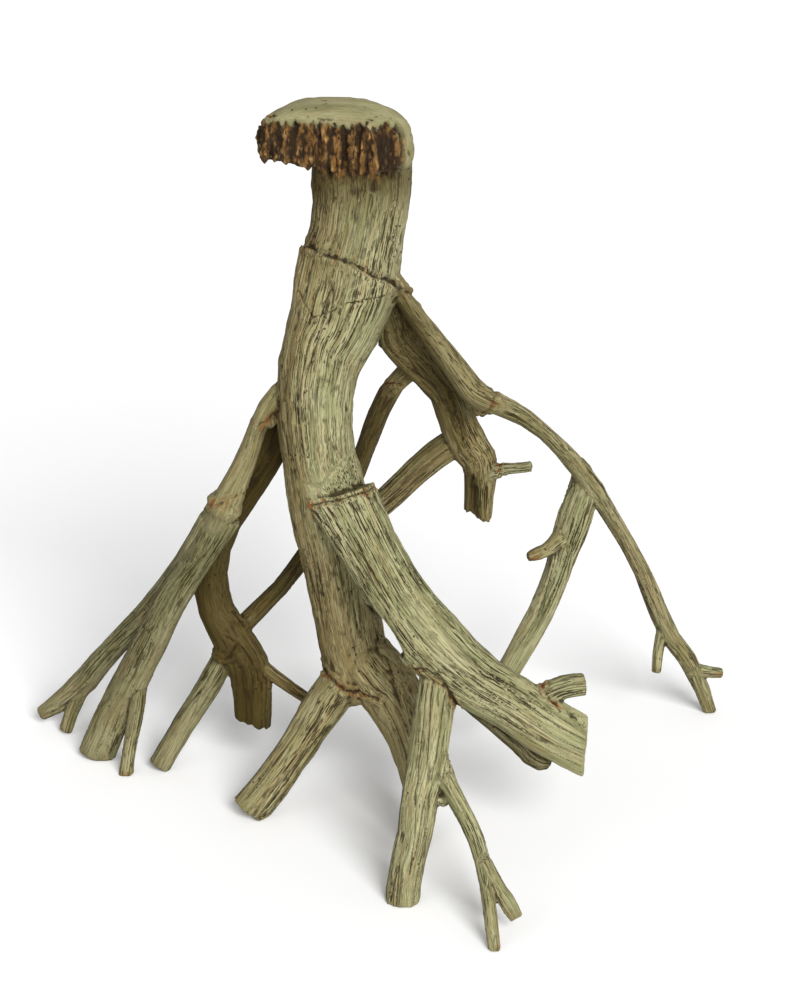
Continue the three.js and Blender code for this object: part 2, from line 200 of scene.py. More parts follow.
# The trunk: a long S of pale wood below the ring, worn smooth by the sand. A V-shaped crack runs
# round its top, just under the ring.
limb("trunk", [[-27, 2, 528, 36.5, 22], [-27, 2, 505, 36.5, 22], [-27, 2, 487, 36, 23.5],
               [-30, 1, 463, 34.5, 26], [-35, 0, 440, 38, 28.6], [-40, 0, 416, 38.5, 29],
               [-47, -1, 392, 35, 28], [-56, -2, 369, 31, 28], [-62, -5, 332, 29, 27],
               [-60, -8, 293, 28, 27], [-55, -8, 264, 30, 27], [-51, -3, 232, 30, 26],
               [-46, 1, 197, 28.5, 25], [-41.7, 1, 162, 25.9, 24], [-37, -3, 130, 25.7, 23],
               [-29, -10, 101, 26, 21], [-23, -17, 86, 17, 13]])
seam([[-73, -13, 421], [-68, -20, 413], [-63, -23, 404], [-51, -27, 410], [-39, -29, 417],
      [-25, -28, 420], [-11, -21, 421]], width=0.8, depth=1.0, lip=0.3, rust=0.4)

# The two legs under the fork: short, thick roots that were cut off straight. A grooved collar with
# bark in it goes round the left one where it starts.
limb("left leg", [[-34, -12, 116, 15, 14], [-53, -20, 90, 16.8, 13.5], [-68, -28, 68, 15, 13],
                  [-90, -37, 37, 15, 13], [-123, -48, -4, 15.5, 13]],
     stain_and_shade=0.1, warm=0.5, cracks=1.5, tip=0.3)
limb("rear leg", [[-36, -6, 130, 16, 16], [-21, -16, 109, 20.5, 19], [-6, -26, 93, 21, 18],
                  [5.5, -42, 75, 18.5, 17], [13, -58, 53, 16.5, 15], [16, -74, 29, 12.5, 13],
                  [10, -92, -8, 9.5, 11]],
     warm=0.8)
seam([[-62, -8, 112], [-58, -11, 110], [-51, -26, 108], [-41, -30, 101], [-31, -34, 99],
      [-22, -39, 100], [-16, -41, 99]], width=1.5, depth=1.6, lip=1.6, rust=0.9)

# The front limb lies over the trunk like a graft, with a beaked upper edge, an open gap beside it,
# a ledge underneath and a short stub near its end.
limb("front limb", [[-52, -24, 283, 24, 10], [-42, -27, 264, 26, 13], [-23, -42, 231, 23, 17],
                    [-1, -60, 196, 23, 19], [22, -76, 170, 26, 19], [52, -88, 145, 23, 17],
                    [86, -95, 125, 22, 13], [120, -99, 102, 21.5, 10], [156, -101, 82.5, 20.5, 8]],
     stain_and_shade=-0.08, cracks=1.3, tip=0.5)
# The ledge's dark stain is partly painted shade, as it lies under the front limb.
limb("ledge", [[36, -82, 132, 4, 8], [68, -86, 108, 8, 9], [91, -88, 89, 9, 9], [104, -89, 76, 10, 9],
               [114, -89, 72, 6, 6]], stain_and_shade=0.5, cracks=1.6, tip=0.5)
limb("stub", [[99, -92, 125, 11, 9.5], [117, -88, 133.5, 9.3, 8], [129, -84, 135, 9.2, 8],
              [138, -82, 135, 8.4, 7]], tip=0.6)
seam([[-65, -35, 259], [-57, -39, 264], [-47, -40, 266], [-36, -39, 269], [-27, -36, 271],
      [-20, -30, 271], [-14, -22, 272]], width=1.2, depth=1.8, lip=0.7, rust=0.9, dark=1)
seam([[-65, -35, 255], [-60, -38, 251], [-54, -43, 247], [-48, -47, 241]], width=1.6, depth=1.6,
     lip=0.2, rust=0.4)
ring([113, -91, 129], [0.8, 0.2, 0.55], 14, width=1.2, depth=0.5, lip=0.8)

# The leg that drops from the front limb, cut off straight at the floor, and the thin twig that
# leaves its side and forks above the floor. A rough collar marks where the leg starts.
limb("front leg", [[36, -76, 160, 13, 10], [28, -92, 138, 15.5, 12], [24, -115, 113, 15, 13],
                   [20, -134, 93, 14.8, 13], [14, -149, 72, 14, 12], [11, -157, 50, 13.2, 12],
                   [5, -163, 20, 12.8, 12], [2.5, -167, -6, 13, 12]], cracks=1.2, tip=0.3)
limb("front twig", [[37, -146, 84, 7.2, 7], [47, -159, 71, 6.9, 6.5], [56, -175, 57, 6.4, 6],
                    [62, -193, 41, 6, 5.6], [65, -211, 26, 5.4, 5.2], [68, -229, 5, 4.9, 4.7],
                    [69, -232, -4, 4.6, 4.6]], tip=0.6)
limb("front twiglet", [[62, -190, 48, 5.2, 4.6], [72, -203, 33, 5.4, 4.6], [78, -208, 25, 6.6, 4.4],
                       [85, -213, 14, 5.2, 4]], stain_and_shade=0.1, tip=0.8)
seam([[8, -80, 155], [12, -88, 153], [18, -96, 155], [27, -100, 152], [34, -102, 146], [40, -103, 135],
      [44, -100, 126]], width=1.3, depth=1.3, lip=1.3, rust=1)

# The left limb: an outer rib down to a knot, then a broad leg, a thin forked one and a peg.
limb("left rib", [[-80, 2, 344, 6, 7], [-93, -4, 332, 8.5, 8], [-105, -10, 312, 7, 8],
                  [-112, -12, 291, 8, 8], [-121, -14, 271, 9.6, 9], [-130, -13, 251, 11.5, 10.5],
                  [-139, -8, 228, 9, 8]], stain_and_shade=0.25, warm=0.4, cracks=0.6)
limb("broad leg", [[-133.5, -8, 239, 15, 11], [-149, 0, 204, 11.6, 10], [-172, 12, 164, 12.8, 10],
                   [-194, 26, 115, 13.5, 9.5], [-212, 36, 74, 14.3, 9], [-228, 43, 38, 14.8, 8.5],
                   [-246, 45, -6, 15, 9]], stain_and_shade=0.36, tip=0.4)
limb("thin leg", [[-143, -6, 236, 8, 8], [-156, 6, 206, 9, 8], [-177, 24, 166, 9.5, 8],
                  [-204, 48, 121, 9.3, 8], [-234, 70, 79, 9.8, 7.5], [-256, 84, 46, 11, 7.5],
                  [-275, 93, 24, 9, 6.6], [-293, 98, 9, 6, 5.4]], stain_and_shade=0.25, tip=1)
limb("thin tine", [[-250, 82, 50, 5, 5], [-264, 86, 24, 6, 5.4], [-272, 84, 1, 5.6, 5]],
     stain_and_shade=0.2, tip=0.6)
limb("left peg", [[-205, 32, 66, 6, 5.6], [-209, 28, 43, 6.4, 6], [-214, 22, 20, 5.8, 5.6],
                  [-218, 16, -5, 6.4, 5.6]], stain_and_shade=0.2, tip=1)
ring([-131, -13, 256], [-0.35, 0, 0.94], 20, width=1.5, depth=0.6, lip=0.7, rust=0.9)
ring([-98, -8, 320], [-0.5, 0, 0.85], 12, width=1.4, depth=0.7, lip=0.6, rust=1)

# The inner left sheet hangs behind that rib, hollow in front, and ends torn, with a twig and a cut leg.
# Its dark stain is partly painted shade, as it lies in the rib's shadow.
limb("left sheet", [[-77, 5, 327, 14, 12], [-92, 11, 300, 16, 11], [-103, 15, 277, 16, 11],
                    [-119, 19, 248, 14.5, 11], [-134.5, 25, 216, 12.4, 11], [-143.5, 31, 183, 12.4, 10],
                    [-146, 37, 154, 14, 10], [-142, 39, 131, 14.5, 10], [-129.5, 38, 108, 16.5, 10],
                    [-117.5, 36, 85, 17, 10], [-116, 32, 63, 15.6, 9], [-116, 27, 36, 14.5, 8]],
     stain_and_shade=0.85, warm=1, cracks=1.3)
limb("left hollow", [[-84, -5, 327, 11, 9], [-94, -3, 300, 14.5, 11], [-106, 1, 276, 14.5, 11],
                     [-120, 6, 250, 11, 10], [-131, 12, 232, 5, 5]], kept_in=hollows)
limb("torn hollow", [[-124, 25, 92, 3, 3], [-123, 21, 70, 8, 5], [-124, 17, 48, 10, 7],
                     [-126, 13, 26, 12, 8]], kept_in=hollows)
limb("sheet twig", [[-110, 36, 88, 6, 6], [-91, 32, 74, 5.2, 5], [-66, 28, 57, 4.6, 4.6]],
     stain_and_shade=0.4, warm=1)
limb("cut leg", [[-128, 40, 118, 9, 8], [-141, 40, 85, 10.2, 8.5], [-164, 34, 48, 9.8, 8],
                 [-196, 24, -6, 9.2, 8.2]], stain_and_shade=0.36, cracks=1.3, tip=0.4)
seam([[-144, 29, 99], [-137, 28, 97], [-132, 27, 100], [-128, 27, 108]], width=1.4, depth=1.2,
     lip=1.6, rust=0.9)
seam([[-135, 29, 117], [-128, 29, 112], [-120, 30, 103], [-113, 28, 89], [-108, 25, 71]], width=1.1,
     depth=1.2, lip=0.6, rust=0.5)

# The two back roots leave the right sheet, pass behind the trunk and come out on the left. They are
# thin, brown and little worn, as they lie in the shelter of the trunk; their dark stain is partly painted
# shade.
limb("upper back root", [[-136, 40, 104, 7, 7], [-123, 44, 119, 8.2, 7], [-98, 54, 141, 7, 6.2],
                         [-78, 60, 166, 7.4, 6.4], [-54, 62, 202, 8, 7], [-36, 60, 237, 7.8, 7.5],
                         [-21, 54, 281, 7.8, 7.5], [-11, 47, 310, 8.8, 7.5], [1, 40, 332, 7, 6]],
     stain_and_shade=0.75, warm=1)
limb("lower back root", [[44, 43, 278, 12, 9], [21, 49, 257, 11.4, 8.5], [1, 54, 234, 11, 8.5],
                         [-22, 58, 209.5, 10, 8], [-46, 60, 190, 8, 7], [-66, 60, 178, 5.5, 5]],
     stain_and_shade=0.2, warm=0.8, cracks=1.2)
seam([[-130, 34, 136], [-126, 37, 129], [-121, 36, 122]], width=1.3, depth=1.0, lip=1.2, rust=0.8)
seam([[-14, 36, 328], [-10, 37, 328], [-4, 34, 329], [2, 34, 327]], width=1.2, depth=0.9, lip=1, rust=0.9)

# The right limb: a thick rib down to a node, then a long thin root that forks on its way to the floor.
limb("right rib", [[-8, -4, 436, 6, 7], [3, -2, 412, 7.4, 8], [14.5, 3, 392, 7.6, 8],
                   [28.5, 6, 372, 8.8, 8.5], [41, 9, 353, 9.4, 9], [54, 12, 333, 10.6, 10],
                   [66, 15, 323, 10.2, 10], [79, 20, 316, 6, 7]], stain_and_shade=0.3, warm=0.5)
limb("long root", [[62, 14, 326, 9, 9], [78, 20, 316, 8.8, 8], [93, 26, 306, 7.7, 7.2],
                   [113, 35, 286, 6.3, 6.2], [133, 45, 260, 7, 6.6], [150, 54, 233, 8.4, 8],
                   [163, 62, 209, 6.8, 6.4], [178, 71, 180, 6.6, 6.2], [193, 81, 147, 7, 6.5],
                   [205, 90, 115, 8.2, 7.4], [219, 99, 81, 8, 7], [238, 109, 50, 7.8, 7],
                   [256, 119, 3, 5.8, 5.6], [258, 121, -6, 5.4, 5.2]], stain_and_shade=0.2, warm=0.4)
limb("right fork", [[142, 53, 243, 9.5, 8], [142, 55, 228, 12.8, 9], [136, 57, 204, 14.2, 10],
                    [129, 58, 178, 12, 9.5], [123, 57, 155, 11, 9], [114, 54, 130, 10.8, 9],
                    [102, 49, 107, 10.6, 9], [89, 43, 84, 9.6, 9], [74, 35, 56, 9.2, 8.6]])
limb("right peg", [[126, 54, 190, 8, 7], [115, 50, 182, 5.6, 5.4], [107, 46, 180, 5.6, 5.2],
                   [100, 43, 179, 3.6, 3.6]], stain_and_shade=0.1, warm=0.5, tip=1)
limb("right drop", [[213, 95, 95, 5, 5], [210, 96, 70, 4.8, 4.6], [209, 94, 50, 4.1, 4]])
limb("right tine", [[236, 108, 46, 6, 6], [252, 113, 40, 5.2, 5], [265, 117, 37, 4.4, 4.2]], tip=0.4)
ring([68, 14, 323], [0.75, 0.2, -0.45], 17, width=1.4, depth=0.8, lip=0.7, rust=1)
ring([3, -3, 417], [0.45, 0.2, -0.85], 13, width=1.3, depth=0.7, lip=0.5, rust=0.7)

# The sheet behind the right rib is a shallow trough that ends in a hooked stub with a side twig.
limb("right sheet", [[-22, 2, 425, 12, 10], [-9, 6, 411, 14, 10], [-2, 14, 392, 16, 10],
                     [3.5, 24, 370, 19.5, 10], [19.5, 31, 345, 16.4, 10], [35, 36, 322, 13.5, 11],
                     [44, 40, 298, 14, 12], [52.5, 42, 276, 15, 12], [61.5, 42, 260, 14.2, 12],
                     [62, 41, 240, 12, 11], [61, 38, 212, 11, 10.5]], stain_and_shade=0.22, warm=0.8)
limb("right trough", [[-6, -12, 416, 7, 9], [0, -5, 392, 13, 13], [8, 4, 368, 16, 14],
                      [21, 12, 344, 15, 14], [35, 19, 320, 12, 12], [45, 23, 298, 8, 10],
                      [50, 26, 282, 4, 5]], kept_in=hollows)
limb("stub hollow", [[52, 29, 259, 2, 3], [54, 29, 246, 6, 7], [54, 27, 228, 7, 8], [54, 24, 206, 7.5, 9]],
     kept_in=hollows)
limb("web", [[22, 34, 346, 9, 7], [8, 38, 338, 8.5, 7.5], [-5, 42, 323, 7.5, 7]], stain_and_shade=0.15, warm=0.8)
limb("side twig", [[62, 40, 250, 9, 8], [74, 37, 255, 6.6, 6.2], [82, 35, 258, 4.8, 4.6],
                   [90, 33, 259.5, 4.5, 4.2], [101, 30, 262, 4.4, 4.2]])
ring([78, 36, 257], [0.95, -0.1, 0.2], 11, width=1.1, depth=0.5, lip=0.6, rust=1)

# The carving: wind and sand have cut the softer wood from between the hard grain, so the skin is
# lowered in long fissures and shallow waves that run along every limb.


def ramp(values, low, high):
    """0 below low, 1 above high, smooth in between."""
    share = np.clip((values - low) / (high - low), 0, 1)
    return share * share * (3 - 2 * share)


GRAIN_SHIFT = 0.37
MEETING_NEAR = 0.03
MEETING_FAR = 0.2


def measured(points):
    """The limb each point lies on, its place in that limb's grain, and how near a second limb is."""
    count = len(points)
    nearest = np.full(count, np.inf)
    second = np.full(count, np.inf)
    owner = np.zeros(count, int)
    grain = np.zeros((count, 3))
    for number, one in enumerate(limbs):
        inside, fit, local = fitted(points, one)
        closer = fit < nearest[inside]
        second[inside] = np.where(closer, nearest[inside], np.minimum(second[inside], fit))
        won = inside[closer]
        nearest[won] = fit[closer]
        owner[won] = number
        grain[won] = local[closer] + [0, 0, number * GRAIN_SHIFT]
    meeting = 1 - ramp(second - nearest, MEETING_NEAR, MEETING_FAR)
    return owner, grain, meeting


POINTS_AT_ONCE = 40000


def fitted(points, one, reach=0.014):
    """Which points are near a limb, how far out each is as a share of its radius, and its grain place."""
    wide = one["half"].max() + reach
    low = one["spots"].min(0) - wide
    high = one["spots"].max(0) + wide
    inside = np.flatnonzero(((points > low) & (points < high)).all(1))
    near = points[inside]
    spots = one["spots"]
    station = np.empty(len(near), int)
    for start in range(0, len(near), POINTS_AT_ONCE):
        block = near[start:start + POINTS_AT_ONCE]
        gap = (spots ** 2).sum(1) - 2 * block @ spots.T
        station[start:start + POINTS_AT_ONCE] = gap.argmin(1)
    offset = near - spots[station]
    across = (offset * one["side"][station]).sum(1) / one["half"][station, 0]
    outward = (offset * one["front"][station]).sum(1) / one["half"][station, 1]
    along = (offset * one["tangent"][station]).sum(1)
    past = np.where(station == 0, -along, np.where(station == len(spots) - 1, along, 0))
    end = np.maximum(past, 0) / one["half"][station].min(1)
    mean = one["half"].mean(0)
    local = np.column_stack([across * mean[0], outward * mean[1], one["travel"][station] + along])
    return inside, np.sqrt(across ** 2 + outward ** 2 + end ** 2), local


CELL_KEYS = np.array([374761393, 668265263, 2147483629])
SEED_KEY = 144665
FIRST_STIR = 1274126177
SECOND_STIR = 668265263
LAST_31_BITS = 0x7FFFFFFF
LAST_10_BITS = 1023
NOISE_GAIN = 1.6


def noise(places, seed):
    """Smooth noise from about -1 to 1 at every place; its lumps are one unit across.

    Each corner of a cell gets a slope of its own, stirred up from the corner's whole numbers.
    """
    cell = np.floor(places).astype(np.int64)
    inner = places - cell
    ease = inner ** 3 * (inner * (inner * 6 - 15) + 10)
    total = np.zeros(len(places))
    for corner in np.ndindex(2, 2, 2):
        key = (cell + corner) @ CELL_KEYS + seed * SEED_KEY
        key = (key ^ (key >> 13)) * FIRST_STIR & LAST_31_BITS
        key = (key ^ (key >> 15)) * SECOND_STIR & LAST_31_BITS
        bits = np.column_stack([key >> shift & LAST_10_BITS for shift in (0, 10, 20)])
        slope = bits / (LAST_10_BITS / 2) - 1
        weight = np.prod(np.where(corner, ease, 1 - ease), axis=1)
        total += weight * (slope * (inner - corner)).sum(1)
    return total * NOISE_GAIN


def grain_noise(grain, across, along, seed):
    """Noise drawn out along the grain: lumps so many metres across and along."""
    return noise(grain / [across, across, along], seed)


WIDE_CRACKS = (0.0075, 0.12)
WIDE_OPENING = 0.13
FINE_CRACKS = (0.0045, 0.07)
FINE_OPENING = 0.16
FINE_BREAKS = (0.006, 0.03)
CRACKED_PATCHES = (0.022, 0.11)


def fissures(grain, cracks):
    """How deep the long cracks are at each point, from 0 to 1.

    Each kind has its spacing across the grain and its length along it, in metres.
    """
    patches = np.clip(0.5 + 1.3 * grain_noise(grain, *CRACKED_PATCHES, 3), 0, 1)
    wide = np.clip(1 - np.abs(grain_noise(grain, *WIDE_CRACKS, 1)) / WIDE_OPENING, 0, 1)
    fine = np.clip(1 - np.abs(grain_noise(grain, *FINE_CRACKS, 2)) / FINE_OPENING, 0, 1)
    short = np.clip(0.35 + 1.6 * grain_noise(grain, *FINE_BREAKS, 4), 0, 1)
    return np.clip(np.maximum(wide, 0.7 * fine * short) * patches * cracks, 0, 1)


def distance_to_line(points, line, reach):
    """Each point's distance to a line of points, no more than reach."""
    result = np.full(len(points), reach)
    low = line.min(0) - reach
    high = line.max(0) + reach
    inside = np.flatnonzero(((points > low) & (points < high)).all(1))
    near = points[inside]
    for start, end in zip(line, line[1:]):
        step = end - start
        share = np.clip((near - start) @ step / (step @ step), 0, 1)
        gap = np.linalg.norm(near - start - share[:, None] * step, axis=1)
        result[inside] = np.minimum(result[inside], gap)
    return result


SEAM_STEP = 0.003


def laid_on_skin(line, finder):
    """A line filled in at every step and moved onto the nearest wood."""
    filled = [line[:1]]
    for start, end in zip(line, line[1:]):
        count = math.ceil(np.linalg.norm(end - start) / SEAM_STEP)
        filled.append(start + np.linspace(0, 1, count + 1)[1:, None] * (end - start))
    return np.array([finder.find(spot)[0] for spot in np.vstack(filled)])


COARSE_RAG = 0.0045
FINE_RAG = 0.0016
RING_WANDER = 0.0024
WANDER_LENGTH = 0.012
BREAK_LENGTH = 0.007
LINE_REACH = 8
RAG_SHARE = 0.8
LIP_PLACE = 2.3
LIP_SPREAD = 1.1
BARK_SPREAD = 3.4


def lines_at(points):
    """What the seams and rings do at each point: how far they lower it, and their dark and rusty marks.

    The reach, the rag, a lip's place and the spreads are shares of the groove's own width.
    """
    ragged = noise(points / COARSE_RAG, 11) * 0.7 + noise(points / FINE_RAG, 12) * 0.35
    wander = RING_WANDER * noise(points / WANDER_LENGTH, 13)
    broken = 0.55 + 0.75 * noise(points / BREAK_LENGTH, 14)
    lowered = np.zeros(len(points))
    dark = np.zeros(len(points))
    rust = np.zeros(len(points))
    for one in seams + rings:
        width = one["width"]
        if "points" in one:
            gap = distance_to_line(points, one["points"], LINE_REACH * width)
        else:
            offset = points - one["centre"]
            height = offset @ one["normal"]
            spread = np.linalg.norm(offset - height[:, None] * one["normal"], axis=1)
            gap = np.abs(height + wander) + np.maximum(spread - one["reach"], 0) * 2
        gap = np.maximum(gap + ragged * width * RAG_SHARE, 0)
        groove = np.exp(-(gap / width) ** 2)
        lip = np.exp(-((gap - LIP_PLACE * width) / (LIP_SPREAD * width)) ** 2)
        bark = np.exp(-(gap / (BARK_SPREAD * width)) ** 2)
        lowered += groove * one["depth"] * (1 + 0.5 * ragged) - lip * one["lip"] * (0.75 + 0.6 * ragged)
        dark = np.maximum(dark, groove * one["dark"] * np.clip(broken, 0.2, 1))
        rust = np.maximum(rust, bark * one["rust"])
    return lowered, dark, rust


# The torn front of the cap is a band of upright flutes, where the fibres were ripped out in shreds
# and left crumbly. Below, the flutes die out in the top of the neck.
TORN_MIDDLE = place([-46, -19, 531])
TORN_OUT = unit(np.array([-0.17, -1, 0.06]))
TORN_TOP = 549 * MM
TORN_BOTTOM = 508 * MM
TORN_LEFT = place([-97, 0, 0])[0]
TORN_RIGHT = place([7, 0, 0])[0]
TORN_BEHIND = -0.018
TORN_AHEAD = -0.013
STREAK_LUMP = [0.0042, 0.0042, 0.03]
EDGE_LUMP = 0.003
FLUTE_LUMP = [0.0046, 0.008, 0.035]
CRUMB_LUMP = [0.0022, 0.0022, 0.004]


def torn_at(points, normals):
    """How much each point belongs to the torn band, and how deep its flutes and crumbs are cut there."""
    ahead = (points - TORN_MIDDLE) @ TORN_OUT
    facing = ramp(normals @ TORN_OUT, -0.1, 0.35) * ramp(ahead, TORN_BEHIND, TORN_AHEAD)
    left_end = ramp(-normals[:, 0], 0.2, 0.7) * ramp(TORN_LEFT + 0.004 - points[:, 0], 0, 0.006)
    streaks = noise(points / STREAK_LUMP, 21)
    height = points[:, 2] + 0.006 * streaks + 0.002 * noise(points / EDGE_LUMP, 24)
    band = ramp(TORN_TOP - height, 0, 0.0025) * ramp(height - TORN_BOTTOM, -0.004, 0.008)
    band = band * ramp(TORN_RIGHT - points[:, 0] - 0.003 * streaks, 0, 0.005)
    torn = band * np.maximum(facing, left_end)
    flutes = 0.5 + 0.9 * noise(points / FLUTE_LUMP, 22)
    crumbs = noise(points / CRUMB_LUMP, 23)
    return torn, np.clip(flutes, 0, 1.2), crumbs


# Now every point of the skin is moved. Waves and lumps are shares of a limb's own half thickness;
# the fissures, flutes, rags and teeth are in metres, and the worn soles stay flat.
FISSURE_DEPTH = 0.0015
THICK_LIMB = 0.012
WAVE_HEIGHT = 0.04
LONG_WAVES = (0.011, 0.16)
SHORT_WAVES = (0.005, 0.09)
LUMP_HEIGHT = 0.04
LUMPS = ((0.035, 1, 7), (0.014, 0.6, 8), (0.006, 0.3, 9))
FLUTE_DEPTH = 0.0042
CRUMB_HEIGHT = 0.0016
TORN_RISE = 0.0012
SOLE_HEIGHT = 0.0025
TORN_ENDS = (("left sheet", 56 * MM), ("right sheet", 234 * MM))
RAG_HEIGHT = 0.0032
RAG_LENGTH = 0.009
COARSE_SHREDS = [0.0052, 0.009, 1]
FINE_SHREDS = [0.0022, 0.004, 1]
TOOTH_LENGTH = 0.007
TOOTH_ROOT = 528 * MM
TOOTH_LUMP = [0.0062, 0.03, 1]
TEETH_WIDTH = 0.042


def on_limb(owner, name):
    """Which points lie on the limb of this name."""
    return owner == [one["name"] for one in limbs].index(name)


def of_limb(owner, field):
    """One value of the limb that each point lies on."""
    return np.array([one[field] for one in limbs])[owner]


skin.vertices.foreach_set("co", points.astype(np.float32).ravel())
skin.update()
normals = numbers(skin.vertices, "normal", 3)
owner, grain, meeting = measured(points)
finder = KDTree(len(points))
for number, point in enumerate(points):
    finder.insert(point, number)
finder.balance()
for one in seams:
    one["points"] = laid_on_skin(one["points"], finder)
size = np.array([one["half"].min(1).mean() for one in limbs])[owner]
calm = 1 - 0.8 * meeting
waves = grain_noise(grain, *LONG_WAVES, 5) + 0.5 * grain_noise(grain, *SHORT_WAVES, 6)
lumps = sum(share * noise(points / lump, seed) for lump, share, seed in LUMPS)
cracks = fissures(grain, of_limb(owner, "cracks"))
depth = -WAVE_HEIGHT * size * waves * calm - LUMP_HEIGHT * size * lumps
depth += FISSURE_DEPTH * cracks * calm * np.minimum(size / THICK_LIMB, 1)
depth += lines_at(points)[0]
torn, flutes, crumbs = torn_at(points, normals)
depth = depth * (1 - torn) + torn * (FLUTE_DEPTH * flutes + CRUMB_HEIGHT * crumbs - TORN_RISE)
sole = ramp(SOLE_HEIGHT - points[:, 2], 0, 0.002)
points = points - normals * (depth * (1 - sole))[:, None]
for name, height in TORN_ENDS:
    rag = noise(points / COARSE_SHREDS, 26) + 0.35 * noise(points / FINE_SHREDS, 27)
    low_end = on_limb(owner, name) * ramp(height - points[:, 2], 0, RAG_LENGTH)
    points[:, 2] += RAG_HEIGHT * rag * low_end
teeth = np.clip(0.1 + 1.5 * noise(points / TOOTH_LUMP, 25), 0, 1)
teeth = teeth * ramp(TOOTH_ROOT - points[:, 2], 0, 0.012) * on_limb(owner, "cap")
points[:, 2] -= TOOTH_LENGTH * teeth * ramp(TORN_LEFT + TEETH_WIDTH - points[:, 0], 0, 0.006)
points[:, 2] = np.maximum(points[:, 2], 0)
skin.vertices.foreach_set("co", points.astype(np.float32).ravel())
skin.update()

# The carved skin is thinned to what the shape needs, and it becomes the finished piece of wood.
# Flat stretches lose the most triangles, and the cracks and torn edges keep theirs.
MOST_TRIANGLES = 192000
have = sum(len(face.vertices) - 2 for face in skin.polygons)
wood_mesh = with_modifier(skin, "DECIMATE", ratio=min(1, MOST_TRIANGLES / have))
wood_mesh.name = "root_wood"
wood = bpy.data.objects.new("root_wood", wood_mesh)
bpy.context.scene.collection.objects.link(wood)
wood_mesh.shade_smooth()

# What the surface is like at each point is kept on the mesh, for the wood's finish to read: cracks,
# bark, stain with painted shade, warmth, torn fibres, and how deep the point lies among its neighbours,
# for painted shade in hollows and creases.
points = numbers(wood_mesh.vertices, "co", 3)
normals = numbers(wood_mesh.vertices, "normal", 3)
edges = numbers(wood_mesh.edges, "vertices", 2, np.int32)
owner, grain, meeting = measured(points)
_, dark, rust = lines_at(points)
torn, flutes, crumbs = torn_at(points, normals)
cracked = 0.55 * fissures(grain, of_limb(owner, "cracks")) * (1 - meeting)
ends = np.array([one["travel"][-1] for one in limbs])
from_end = ends[owner] - (grain[:, 2] - owner * GRAIN_SHIFT)

HOLLOW_REACH = 1.6
UNDER_CAP = 476 * MM
NECK_DARKENING = 0.18
RING_BELOW = 430 * MM
RING_ABOVE = 445 * MM
LOW_TRUNK = 260 * MM
LOW_TRUNK_FADE = 0.12
# The direction of the painted light: faces turned away from it get painted shade.
PAINTED_LIGHT_FROM = unit(np.array([0.5, -0.6, 0.6]))
BLUR_ROUNDS = 20
RUSTY_END = 0.012
WORN_LENGTH = 0.085
WORN_FADE = 0.04


def cavity(rounds, scale):
    """How far each point lies below the surface round about it, from -1 to 1."""
    sunk = ((eased(points, edges, rounds, keep_volume=False) - points) * normals).sum(1)
    return np.clip(sunk / scale, -1, 1)


def hollow_at(points):
    """How far each point lies in one of the scooped hollows."""
    share = np.zeros(len(points))
    for one in hollows:
        inside, fit, _ = fitted(points, one, reach=0.002)
        share[inside] = np.maximum(share[inside], ramp(HOLLOW_REACH - fit, 0, 0.5))
    return share


def blurred(values):
    """Shares from 0 to 1, spread a little into their neighbours."""
    return eased(np.clip(values, 0, 1)[:, None], edges, BLUR_ROUNDS, keep_volume=False)[:, 0]


on_trunk = on_limb(owner, "trunk")
# Painted shade on the neck just under the cap's overhang.
shade_under_cap = ramp(points[:, 2], UNDER_CAP, TORN_BOTTOM) * ramp(-normals[:, 2], -0.8, -0.3)
# The neck above the ring and the trunk towards its foot are darker.
neck_share = NECK_DARKENING * ramp(points[:, 2], RING_BELOW, RING_ABOVE)
low_trunk = ramp(LOW_TRUNK - points[:, 2], 0, LOW_TRUNK_FADE)
# Painted shade on faces turned away from the daylight.
turned_from_light = ramp(-(normals @ PAINTED_LIGHT_FROM), -0.75, 0.6)
# Painted shade in the hollows beside the ribs and in the torn sheet.
stain_and_shade = of_limb(owner, "stain_and_shade") + 0.38 * turned_from_light + 0.5 * hollow_at(points)
stain_and_shade += (0.68 * shade_under_cap + neck_share + 0.15 * low_trunk) * on_trunk
stain_and_shade = blurred(stain_and_shade)
# Painted shade: the trunk's left side, away from the daylight, is made darker and more ochre.
shaded_left_side = ramp(-normals[:, 0], -0.1, 0.8) * on_trunk
warm = of_limb(owner, "warm") + 0.9 * shaded_left_side
warm += 0.7 * low_trunk * on_trunk
warm = blurred(warm)
rust = np.maximum(rust, of_limb(owner, "tip") * ramp(RUSTY_END - from_end, 0, 0.006))
worn_end = 1 - 0.65 * on_limb(owner, "front limb") * ramp(WORN_LENGTH - from_end, 0, WORN_FADE)
open_grain = np.minimum(of_limb(owner, "cracks"), 1) * (1 - 0.6 * meeting) * worn_end
for name, values in (
    ("crack", np.maximum(cracked, dark)),
    ("rust", np.clip(rust + 0.25 * meeting, 0, 1)),
    ("stain_and_shade", stain_and_shade),
    ("warm", warm),
    ("torn", torn),
    ("open_grain", open_grain),
    ("flute", ramp(flutes + 0.45 * crumbs, 0.1, 0.6)),
    ("small_cavity", cavity(4, 0.0004)),
    ("large_cavity", cavity(40, 0.002)),
):
    attribute = wood_mesh.attributes.new(name, "FLOAT", "POINT")
    attribute.data.foreach_set("value", values.astype(np.float32))
attribute = wood_mesh.attributes.new("grain", "FLOAT_VECTOR", "POINT")
attribute.data.foreach_set("vector", grain.astype(np.float32).ravel())

# The finish: grey-green weathered wood, streaked and finely cracked along the grain, orange-brown
# where bark was left in the collars, dark olive painted shade in the hollows, and dotted with small black
# pits.


def linear(red, green, blue):
    """A colour as the eye reads it, 0 to 255, as light."""
    shares = (channel / 255 for channel in (red, green, blue))
    return tuple(s / 12.92 if s <= 0.04045 else ((s + 0.055) / 1.055) ** 2.4 for s in shares) + (1,)


